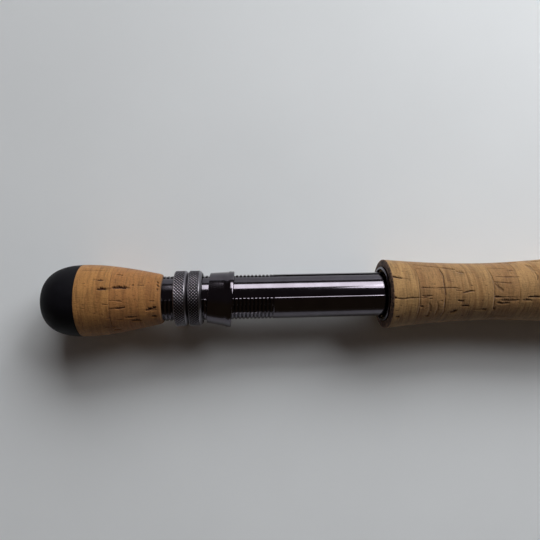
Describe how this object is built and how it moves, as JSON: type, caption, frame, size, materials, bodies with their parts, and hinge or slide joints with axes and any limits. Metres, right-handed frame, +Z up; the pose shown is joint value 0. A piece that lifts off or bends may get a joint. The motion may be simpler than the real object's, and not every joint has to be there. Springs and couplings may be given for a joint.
{
  "type": "saltwater fly rod",
  "caption": "Saltwater fly rod in sections: cork fighting butt and full-wells grip, up-locking aluminium reel seat with locking rings, tapered carbon blank, line guides and tip top.",
  "frame": {"origin": "centre of the flat at the butt end, on the rod's axis", "axes": "+X along the rod from butt to tip, +Z up from the table that it lies on; the reel and the guides are on the side 29 degrees from +Z towards +Y"},
  "size_m": [2.7432, 0.031, 0.0378],
  "materials": {
    "butt_rubber": "matte black rubber",
    "cork": "fine sanded cork with pits and cracks",
    "composite_cork": "dark composite cork, mottled",
    "anodised_gunmetal": "polished, anodised gunmetal",
    "stainless_steel": "polished wire",
    "carbon_blank": "carbon fibre under satin clear coat",
    "nylon": "natural nylon",
    "wrapping_thread": "thread under gloss epoxy",
    "guide_ceramic": "polished dark ceramic"
  },
  "bodies": {
    "handle_section": {"blank_section_1": "carbon_blank", "butt_cap": "butt_rubber", "butt_cork_ring_1": "cork", "butt_cork_ring_2": "cork", "butt_cork_ring_3": "cork", "butt_stem": "nylon", "fixed_hood": "anodised_gunmetal", "grip_cork_ring_01": "cork", "grip_cork_ring_02": "cork", "grip_cork_ring_03": "cork", "grip_cork_ring_04": "cork", "grip_cork_ring_05": "cork", "grip_cork_ring_06": "cork", "grip_cork_ring_07": "cork", "grip_cork_ring_08": "cork", "grip_cork_ring_09": "cork", "grip_cork_ring_10": "cork", "grip_cork_ring_11": "cork", "grip_cork_ring_12": "cork", "grip_cork_ring_13": "cork", "grip_cork_ring_14": "cork", "grip_cork_ring_15": "cork", "grip_cork_ring_16": "cork", "grip_front_ring": "composite_cork", "grip_rear_face": "composite_cork", "hook_keeper": "stainless_steel", "reel_seat_barrel": "anodised_gunmetal", "seat_arbor_1": "nylon", "seat_arbor_2": "nylon", "seat_arbor_3": "nylon", "winding_check": "anodised_gunmetal"},
    "lock_ring_rear_insert": {"lock_ring_rear_insert": "nylon"},
    "lock_ring_rear": {"lock_ring_rear": "anodised_gunmetal"},
    "lock_ring_front_insert": {"lock_ring_front_insert": "nylon"},
    "lock_ring_front": {"lock_ring_front": "anodised_gunmetal"},
    "sliding_hood": {"sliding_hood": "anodised_gunmetal"},
    "section_2": {"blank_section_2": "carbon_blank", "ferrule_wrap_1": "wrapping_thread", "snake_guide_8": "stainless_steel", "stripping_guide_1_frame": "stainless_steel", "stripping_guide_1_front_wrap": "wrapping_thread", "stripping_guide_1_rear_wrap": "wrapping_thread", "stripping_guide_1_ring": "guide_ceramic", "stripping_guide_2_frame": "stainless_steel", "stripping_guide_2_front_wrap": "wrapping_thread", "stripping_guide_2_rear_wrap": "wrapping_thread", "stripping_guide_2_ring": "guide_ceramic"},
    "section_3": {"blank_section_3": "carbon_blank", "ferrule_wrap_2": "wrapping_thread", "snake_guide_5": "stainless_steel", "snake_guide_6": "stainless_steel", "snake_guide_7": "stainless_steel"},
    "section_4": {"blank_section_4": "carbon_blank", "ferrule_wrap_3": "wrapping_thread", "snake_guide_1": "stainless_steel", "snake_guide_2": "stainless_steel", "snake_guide_3": "stainless_steel", "snake_guide_4": "stainless_steel", "tip_top": "stainless_steel"}
  },
  "joints": [
    {"name": "lock_ring_rear_travel", "type": "slide", "parent": "handle_section", "child": "lock_ring_rear_insert", "axis": [1, 0, 0], "range_m": [-0.0045, 0.024]},
    {"name": "lock_ring_rear_turn", "type": "hinge", "parent": "lock_ring_rear_insert", "child": "lock_ring_rear", "pos_m": [0.0539, 0, 0], "axis": [1, 0, 0], "range_deg": [-1000, 5400]},
    {"name": "lock_ring_front_travel", "type": "slide", "parent": "lock_ring_rear_insert", "child": "lock_ring_front_insert", "axis": [1, 0, 0], "range_m": [0, 0.005]},
    {"name": "lock_ring_front_turn", "type": "hinge", "parent": "lock_ring_front_insert", "child": "lock_ring_front", "pos_m": [0.0597, 0, 0], "axis": [1, 0, 0], "range_deg": [0, 1100]},
    {"name": "sliding_hood_slide", "type": "slide", "parent": "lock_ring_front_insert", "child": "sliding_hood", "axis": [1, 0, 0], "range_m": [-0.0012, 0.03]},
    {"name": "ferrule_1_pull", "type": "slide", "parent": "handle_section", "child": "section_2", "axis": [1, 0, 0], "range_m": [0, 0.09]},
    {"name": "ferrule_2_pull", "type": "slide", "parent": "section_2", "child": "section_3", "axis": [1, 0, 0], "range_m": [0, 0.09]},
    {"name": "ferrule_3_pull", "type": "slide", "parent": "section_3", "child": "section_4", "axis": [1, 0, 0], "range_m": [0, 0.09]}
  ],
  "couplings": [
    {"joint": "lock_ring_rear_travel", "follows": "lock_ring_rear_turn", "m_per_rad": 0.00025266},
    {"joint": "lock_ring_front_travel", "follows": "lock_ring_front_turn", "m_per_rad": 0.00025266}
  ]
}
